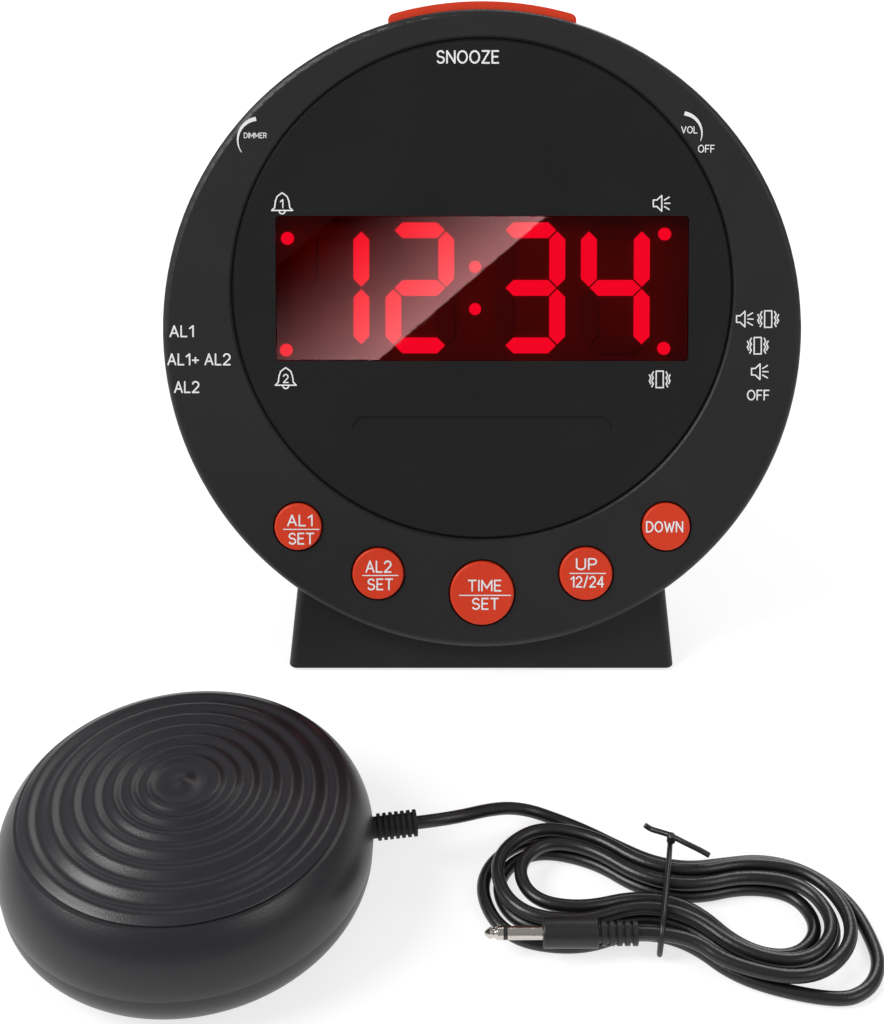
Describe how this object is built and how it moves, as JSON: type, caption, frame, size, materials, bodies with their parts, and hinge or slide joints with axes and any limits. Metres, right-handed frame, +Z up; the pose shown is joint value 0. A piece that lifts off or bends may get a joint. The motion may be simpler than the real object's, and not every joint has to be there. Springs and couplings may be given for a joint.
{
  "type": "bed shaker alarm clock",
  "caption": "Round digital alarm clock on a cradle stand, with key row, snooze bar, thumbwheels and selectors, and a wired disc-shaped bed shaker.",
  "frame": {"origin": "middle of the underside of the stand's non-slip pad, on the table", "axes": "clock faces -Y, +X to its right as seen from the front, +Z up; head leans back 22 degrees about X"},
  "size_m": [0.1702, 0.1957, 0.1486],
  "materials": {
    "shell": "satin black plastic",
    "faceplate": "glossy black plastic",
    "window": "dark red transparent acrylic",
    "panel": "dark red-brown",
    "lit": "lit red segments",
    "dark": "unlit red segments",
    "key": "orange plastic",
    "board": "green circuit board",
    "switch": "black switch bodies",
    "metal": "zinc-plated steel",
    "weight": "brass",
    "cone": "black paper cone",
    "battery": "plain battery case",
    "pad": "black rubber",
    "cord": "black cord sheath",
    "contact": "nickel-plated brass"
  },
  "bodies": {
    "clock": {"front_bezel": "shell", "rear_cover": "shell", "stand": "shell", "stand_base": "shell", "display_housing": "shell", "faceplate": "faceplate", "display_window": "window", "display_panel": "panel", "segments_lit": "lit", "segments_dark": "dark", "indicator_lights": "dark", "main_board": "board", "key_board": "board", "key_switches": "switch", "snooze_switch": "switch", "alarm_switch": "switch", "mode_switch": "switch", "dc_jack": "switch", "shaker_jack": "switch", "battery_clip": "switch", "board_screws": "metal", "case_screws": "metal", "stand_screws": "metal", "dimmer_pot": "metal", "volume_pot": "metal", "speaker_frame": "metal", "speaker_magnet": "metal", "speaker_cone": "cone", "backup_battery": "battery", "base_pad": "pad"},
    "key_alarm_1": {"key_alarm_1": "key"},
    "key_alarm_2": {"key_alarm_2": "key"},
    "key_time": {"key_time": "key"},
    "key_up": {"key_up": "key"},
    "key_down": {"key_down": "key"},
    "snooze_bar": {"snooze_bar": "key"},
    "dimmer_wheel": {"dimmer_wheel": "shell"},
    "volume_wheel": {"volume_wheel": "shell"},
    "alarm_slider": {"alarm_slider": "shell"},
    "mode_slider": {"mode_slider": "shell"},
    "battery_door": {"battery_door": "shell"},
    "weight": {"eccentric_weight": "weight", "motor_shaft": "metal"},
    "shaker": {"shaker_top": "shell", "shaker_base": "shell", "shaker_pad": "pad", "shaker_screws": "metal", "motor_can": "metal", "motor_clamp": "metal", "strain_relief": "cord", "cord_lead": "cord", "cord_hank": "cord", "cord_tail": "cord", "hank_tie": "cord", "plug_body": "cord", "plug_sleeve": "contact", "plug_insulator": "cord", "plug_tip": "contact"}
  },
  "joints": [
    {"name": "key_alarm_1_press", "type": "slide", "parent": "clock", "child": "key_alarm_1", "axis": [0, 0.9272, -0.3746], "range_m": [0, 0.0006], "stiffness_N_per_m": 400},
    {"name": "key_alarm_2_press", "type": "slide", "parent": "clock", "child": "key_alarm_2", "axis": [0, 0.9272, -0.3746], "range_m": [0, 0.0006], "stiffness_N_per_m": 400},
    {"name": "key_time_press", "type": "slide", "parent": "clock", "child": "key_time", "axis": [0, 0.9272, -0.3746], "range_m": [0, 0.0006], "stiffness_N_per_m": 400},
    {"name": "key_up_press", "type": "slide", "parent": "clock", "child": "key_up", "axis": [0, 0.9272, -0.3746], "range_m": [0, 0.0006], "stiffness_N_per_m": 400},
    {"name": "key_down_press", "type": "slide", "parent": "clock", "child": "key_down", "axis": [0, 0.9272, -0.3746], "range_m": [0, 0.0006], "stiffness_N_per_m": 400},
    {"name": "snooze_press", "type": "slide", "parent": "clock", "child": "snooze_bar", "axis": [0, -0.3746, -0.9272], "range_m": [0, 0.0015], "stiffness_N_per_m": 800},
    {"name": "dimmer_turn", "type": "hinge", "parent": "clock", "child": "dimmer_wheel", "pos_m": [-0.04491, 0.02442, 0.10704], "axis": [0, 0.9272, -0.3746], "range_deg": [-135, 135]},
    {"name": "volume_turn", "type": "hinge", "parent": "clock", "child": "volume_wheel", "pos_m": [0.0428, 0.02528, 0.10917], "axis": [0, 0.9272, -0.3746], "range_deg": [-135, 135]},
    {"name": "alarm_select", "type": "slide", "parent": "clock", "child": "alarm_slider", "axis": [0, 0.3746, 0.9272], "range_m": [-0.003, 0.003]},
    {"name": "mode_select", "type": "slide", "parent": "clock", "child": "mode_slider", "axis": [0, 0.3746, 0.9272], "range_m": [-0.009, 0]},
    {"name": "battery_door_off", "type": "slide", "parent": "clock", "child": "battery_door", "axis": [0, 0.9272, -0.3746], "range_m": [0, 0.03]},
    {"name": "shaker_lift", "type": "slide", "parent": "clock", "child": "shaker", "axis": [0, 0, 1], "range_m": [0, 0.12]},
    {"name": "weight_spin", "type": "hinge", "parent": "shaker", "child": "weight", "pos_m": [-0.05, -0.1021, 0.0131], "axis": [1, 0, 0], "continuous": true}
  ]
}
